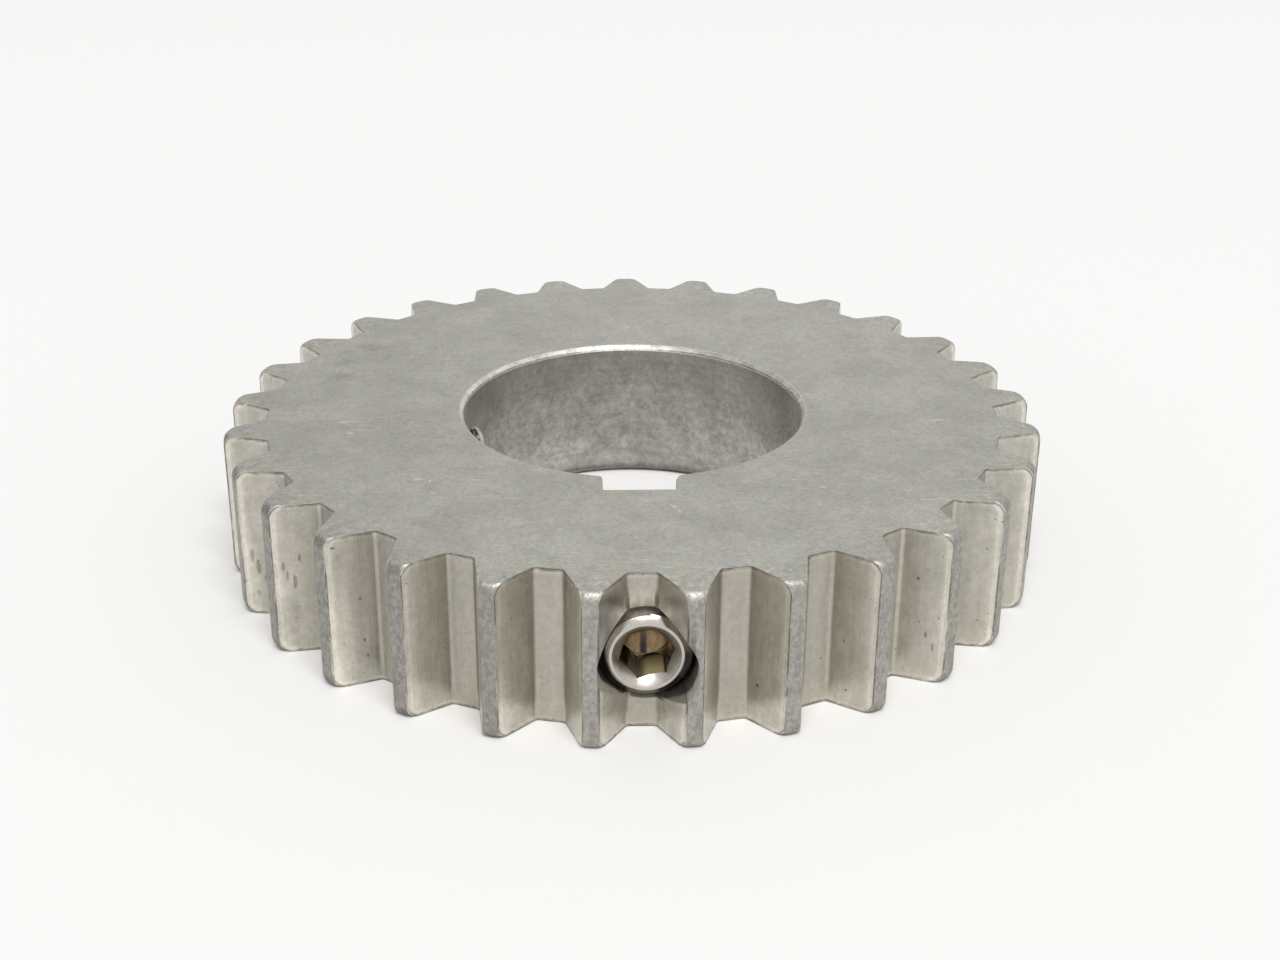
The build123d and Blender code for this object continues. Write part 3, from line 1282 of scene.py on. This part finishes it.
# %% The lands and the tooth ends
def tooth_land(coat):
    grain = coat.noise(0.16, 3, 0.6)
    mottle = coat.noise(0.40, 4, 0.65, coat.mapped(scale=(1, 1, 0.7)))
    end = coat.between(coat.height, 5.7, 6.6)
    at_sides = coat.between(coat.aside, 6, 16)
    bruised = coat.product(specks(coat, 0.28, 0.10, 2.0), coat.between(end, 0, 1, 0.45, 1))
    tone = coat.product(
        coat.vary(mottle, 0.80, 1.16),
        # Painted light and shade, from here to the grain: the ends are darker out at the sides and
        # most on the left, where less light falls, which tames their highlights
        coat.where(coat.product(end, at_sides), 0.86),
        coat.between(coat.x, -22, -14, coat.where(end, 0.8), 1.0),
        coat.between(coat.x, -13, -4, 0.88, 1.03),
        coat.between(coat.x, -30, -20, 0.94, 1.0),
        coat.between(coat.x, 22, 30, 1.0, 0.92),
        coat.vary(grain, 0.92, 1.08),
    )
    # Painted shade here too: the ends darker at the sides and on the left
    end_tone = coat.product(
        coat.vary(mottle, 0.91, 1.05),
        coat.where(at_sides, 0.93),
        coat.between(coat.x, -26, -14, 0.95, 1.0),
    )
    land = coat.dim((0.372, 0.360, 0.33), coat.plus(tone, 0.3, bruised))
    like_face = coat.dim((0.40, 0.393, 0.36), end_tone)
    onto_face = coat.between(coat.plus(coat.height, 0.6, mottle), 7.0, 7.4)
    dents = coat.product(mottle, coat.where(end, 1.7))
    coat.set(
        Base_Color=coat.blend(onto_face, land, like_face),
        Roughness=coat.plus(coat.vary(mottle, 0.56, 0.42), -0.12, bruised),
        Normal=coat.bump(dents, 0.045, coat.bump(grain, 0.014)),
    )


apply_finish("tooth_land", tooth_land)

# %% [markdown]
# The bore was turned and has had a shaft in it. Its wall is mottled where the shaft has
# rubbed, with the faintest rings from the turning, and painted darker at the bottom as the
# shade where it meets the floor. Its chamfers were left bright, and on the left the chamfer
# is painted brighter still, as a highlight of the light from the right. Their inner edge is
# dark and ragged where the shaft went in.

# %% The bore
def bore_wall(coat):
    grain = coat.noise(0.25, 3, 0.6)
    mottle = coat.noise(0.7, 4, 0.6)
    cloud = coat.noise(3.2, 3, 0.5)
    rings = coat.noise(0.5, 2, 0.5, coat.mapped(scale=(0.05, 0.05, 1)))
    tone = coat.product(
        coat.vary(mottle, 0.85, 1.15),
        coat.vary(cloud, 0.86, 1.11),
        coat.vary(grain, 0.90, 1.10),
        coat.vary(rings, 0.95, 1.05),
        # Painted shade: darker at the bottom, where the wall meets the floor
        coat.between(coat.z, -6.6, -5.7, 0.45, 1.0),
    )
    coat.set(
        Base_Color=coat.dim((0.445, 0.43, 0.395), tone),
        Roughness=coat.vary(mottle, 0.5, 0.38),
        Normal=coat.bump(mottle, 0.03, coat.bump(grain, 0.012)),
    )


def bright_chamfer(coat):
    grain = coat.noise(0.2, 3, 0.6)
    chip = specks(coat, 0.5, 0.08, 4.0)
    ragged_bore = coat.plus(bore_radius, 0.16, coat.noise(0.5, 4, 0.65))
    from_bore = coat.math("SUBTRACT", coat.radius, ragged_bore)
    inner_edge = coat.between(from_bore, 0.02, 0.10, 0.38, 1.0)
    at_face = coat.between(coat.height, half_width - 0.7, half_width - 0.55)
    tone = coat.product(
        coat.plus(coat.vary(grain, 0.82, 1.12), 0.15, chip),
        # Painted highlight: brighter on the left, which faces the light from the right
        coat.between(coat.x, -14, 2, 1.55, 1.0),
        coat.between(coat.noise(1.3, 3, 0.6), 0.35, 0.65, 0.8, 1.1),
        coat.where(at_face, inner_edge),
    )
    coat.set(
        Base_Color=coat.dim((0.43, 0.42, 0.39), tone),
        Roughness=coat.vary(grain, 0.42, 0.30),
        Normal=coat.bump(grain, 0.03),
    )


apply_finish("bore_wall", bore_wall)
apply_finish("bore_chamfer", bright_chamfer)

# %% [markdown]
# The holes were tapped with oil, which has dried dark in the threads. The mouth round the
# screw is painted dark over its lower half, as the shadow in the narrow gap round the screw,
# out as far as that shadow reaches, which is further on the right. The rest of the mouth is
# bare metal with painted light: paler on the left, which catches more light, than on the right.

# %% The holes
def tapped_wall(coat):
    grime = coat.noise(0.7, 3, 0.6)
    coat.set(
        Base_Color=coat.dim((0.26, 0.235, 0.20), coat.vary(grime, 0.6, 1.1)),
        Roughness=coat.vary(grime, 0.5, 0.35),
    )


def hole_mouth(coat):
    streak = coat.noise(0.3, 3, 0.6)
    on_right = coat.between(coat.x, -1.0, 1.5)
    left_reach = coat.between(coat.z, -3.2, -1.6, 35.1, 36.0)
    right_reach = coat.between(coat.z, -4.1, -2.2, 35.6, 37.1)
    shadow_reach = coat.between(on_right, 0, 1, left_reach, right_reach)
    # Painted shadow: the mouth is dark where the gap round the screw is in shade, over the lower
    # half
    painted_mouth_shadow = coat.between(coat.math("SUBTRACT", shadow_reach, coat.radius), 0.0, 0.6)
    # Painted light: the bare metal is paler on the left than on the right
    bare_with_painted_light = coat.blend(on_right, (0.60, 0.57, 0.50), (0.36, 0.34, 0.30))
    lower_half = coat.fade(coat.z, -0.6, 1.0)
    colour = coat.blend(coat.product(painted_mouth_shadow, lower_half), bare_with_painted_light, (0.10, 0.09, 0.085))
    coat.set(Base_Color=coat.dim(colour, coat.vary(streak, 0.8, 1.1)), Roughness=0.6)


apply_finish("tapped_wall", tapped_wall)
apply_finish("hole_mouth", hole_mouth)

# %% [markdown]
# The eased edges are the last of the ring's finishes. They are dark from handling, except
# for chips that show fresh metal, and the upper edge of the bore, which every shaft polishes.

# %% The worn edges
def worn_edge(coat):
    grain = coat.noise(0.3, 3, 0.6)
    bore_edge = coat.product(coat.fade(coat.radius, 17.0, 17.6), coat.between(coat.z, -1, 1))
    fresh = coat.math("MAXIMUM", specks(coat, 0.5, 0.10, 9.0), bore_edge)
    colour = coat.blend(fresh, (0.27, 0.255, 0.225), (0.46, 0.45, 0.42))
    coat.set(Base_Color=coat.dim(colour, coat.vary(grain, 0.8, 1.15)), Roughness=0.42)


apply_finish("worn_edge", worn_edge)

# %% [markdown]
# The set screw is harder and was polished smooth, so it mirrors the lamp sharply. Oil has
# crept into its socket and thread and browned them. Low in the socket, on the right, it has
# dried to a dull film. A film isn't metal, so the finish turns the shader's Metallic down
# there. The facets on the right of the socket are painted darker, as shade. The drilled end
# of the socket has a dark upright strip across it, a painted reflection of the dark camera.

# %% The screw's outside
def polished_screw(coat):
    cloud = coat.noise(0.8, 3, 0.6)
    coat.set(
        Base_Color=coat.dim((0.56, 0.53, 0.49), coat.vary(cloud, 0.9, 1.05)),
        Roughness=coat.vary(cloud, 0.16, 0.24),
    )


def screw_countersink(coat):
    tone = coat.product(
        coat.vary(coat.noise(0.8, 3, 0.6), 0.85, 1.1),
        # Painted light and shade: lighter low down, where the countersink mirrors the lamp, and
        # darker at the top and on the right
        coat.between(coat.z, -2.2, 0.6, 1.25, 0.80),
        coat.between(coat.x, 0.3, 1.8, 1.0, 0.68),
    )
    coat.set(Base_Color=coat.dim((0.42, 0.395, 0.355), tone), Roughness=0.27)


def oiled_thread(coat):
    grime = coat.between(coat.noise(0.6, 3, 0.6), 0.35, 0.65)
    colour = coat.blend(grime, (0.30, 0.25, 0.23), (0.46, 0.41, 0.385))
    coat.set(Base_Color=colour, Roughness=0.3)


apply_finish("screw_polish", polished_screw)
apply_finish("screw_sink", screw_countersink)
apply_finish("screw_thread", oiled_thread)


# %% The screw's socket
def oily_socket(coat):
    film = coat.between(coat.noise(0.9, 3, 0.6), 0.35, 0.65)
    dry = coat.product(
        coat.fade(coat.z, -1.5, -1.2),
        coat.between(coat.radius, 31.2, 32.1),
        coat.between(coat.x, -0.5, 0.2, 0.3, 1.0),
        coat.fade(coat.x, 1.3, 1.6),
    )
    colour = coat.blend(film, (0.24, 0.21, 0.155), (0.38, 0.34, 0.25))
    # Painted shade: the facets on the right of the socket are darker
    colour = coat.dim(colour, coat.between(coat.x, 1.2, 1.6, 1.0, 0.4))
    coat.set(
        Base_Color=coat.blend(dry, colour, (0.42, 0.345, 0.18)),
        Metallic=coat.plus(1.0, -0.9, dry),
        Roughness=coat.between(dry, 0, 1, 0.14, 0.5),
    )


def socket_drilling(coat):
    film = coat.vary(coat.noise(0.7, 4, 0.65, coat.mapped(scale=(1.5, 1, 0.8))), 0, 1)
    # Painted reflection: a dark upright strip standing for the dark camera mirrored in the drilled
    # end
    from_dark_reflection = coat.math("ABSOLUTE", coat.math("ADD", coat.x, 0.12))
    strip = coat.product(
        coat.fade(from_dark_reflection, 0.16, 0.40), coat.between(coat.z, -1.6, 0.3, 1.0, 0.55)
    )
    colour = coat.blend(film, (0.20, 0.115, 0.06), (0.27, 0.21, 0.125))
    coat.set(Base_Color=coat.blend(strip, colour, (0.035, 0.032, 0.03)), Roughness=0.2)


apply_finish("oily_socket", oily_socket)
apply_finish("socket_floor", socket_drilling)

# %% [markdown]
# ## Floor, light and camera
#
# The part lies on a plain white floor that runs far back. Light comes from all round, from a
# plain white world, with one large soft lamp above the front to give the edges something to
# catch. Rays from the camera, and mirrored ones, see a white that doesn't light anything, so
# the background can be as pale as wanted while the metal is lit at a plain level.

# %% The floor
floor_half = 3.0
floor_bm = bmesh.new()
bmesh.ops.create_grid(floor_bm, x_segments=1, y_segments=1, size=floor_half)
bmesh.ops.translate(floor_bm, verts=floor_bm.verts, vec=(0, 0, low.z))
floor_mesh = bpy.data.meshes.new("floor")
floor_bm.to_mesh(floor_mesh)
floor_bm.free()
studio_floor = new_object("floor", floor_mesh)
paper = bpy.data.materials.new("white_paper")
paper.use_nodes = True
paper_shader = paper.node_tree.nodes["Principled BSDF"]
paper_shader.inputs["Base Color"].default_value = (0.9, 0.9, 0.895, 1)
paper_shader.inputs["Roughness"].default_value = 0.9
paper_shader.inputs["Specular IOR Level"].default_value = 0.1
studio_floor.data.materials.append(paper)
print(f"floor at {low.z / MM:.2f} mm")

# %% The world
world = bpy.data.worlds.new("studio")
bpy.context.scene.world = world
world.use_nodes = True
sky = world.node_tree.nodes
wires = world.node_tree.links
sky.clear()


def plain_sky(colour, strength):
    """Gives a background of one colour."""
    node = sky.new("ShaderNodeBackground")
    node.inputs["Color"].default_value = (*colour, 1)
    node.inputs["Strength"].default_value = strength
    return node.outputs[0]


def either(a, b):
    """Gives the larger of two values: 1 for a ray that is of either kind."""
    node = sky.new("ShaderNodeMath")
    node.operation = "MAXIMUM"
    wires.new(a, node.inputs[0])
    wires.new(b, node.inputs[1])
    return node.outputs[0]


rays = sky.new("ShaderNodeLightPath").outputs
seen_or_mirrored = either(rays["Is Camera Ray"], rays["Is Glossy Ray"])
choose = sky.new("ShaderNodeMixShader")
world_out = sky.new("ShaderNodeOutputWorld")
wires.new(either(seen_or_mirrored, rays["Is Transmission Ray"]), choose.inputs[0])
wires.new(plain_sky((1.0, 1.0, 0.995), 0.55), choose.inputs[1])
wires.new(plain_sky((0.965, 0.968, 0.968), 1.0), choose.inputs[2])
wires.new(choose.outputs[0], world_out.inputs[0])
print("nodes in the world:", len(sky))

# %% The lamp
lamp_data = bpy.data.lights.new("soft_box", "AREA")
lamp_data.shape = "ELLIPSE"
lamp_data.size = 4.4
lamp_data.size_y = 2.7
lamp_data.energy = 225
lamp = new_object("soft_box", lamp_data)
lamp.location = (0.41, -2.79, 5.30)
lamp.rotation_mode = "QUATERNION"
lamp.rotation_quaternion = (-lamp.location).to_track_quat("-Z", "Y")
print(f"lamp {lamp.location.length:.2f} m from the part")

# %% [markdown]
# The camera looks down a little at the front of the ring. It is placed by the point that it
# looks at, how far away it is and three angles: how far it looks down, how far it is turned
# from straight back, and how far it leans. Three unit vectors, to its right, up and back,
# make its rotation.

# %% The camera
look_at = Vector((1.2811, 13.5539, -7.05)) * MM
camera_distance = 194.575 * MM
camera_down = radians(24.7672)
camera_turn = radians(2.2711)
camera_lean = radians(0.4275)
camera_data = bpy.data.cameras.new("camera")
camera_data.sensor_width = 36.0
camera_data.lens = 52.28
camera_data.clip_start = 0.01
camera_data.clip_end = 10.0
camera = new_object("camera", camera_data)
bpy.context.scene.camera = camera
ahead = Vector(
    (
        cos(camera_down) * sin(camera_turn),
        cos(camera_down) * cos(camera_turn),
        -sin(camera_down),
    )
)
level_right = ahead.cross(Vector((0, 0, 1))).normalized()
level_up = level_right.cross(ahead)
lean = Matrix.Rotation(-camera_lean, 3, ahead)
axes = Matrix((lean @ level_right, lean @ level_up, -ahead)).transposed()
camera.rotation_mode = "QUATERNION"
camera.rotation_quaternion = axes.to_quaternion()
camera.location = look_at - ahead * camera_distance
print("camera at", [round(value / MM, 2) for value in camera.location])

# %% [markdown]
# The colours are shown as they are, with no film look laid over them.

# %% The last lines
bpy.context.scene.view_settings.view_transform = "Standard"
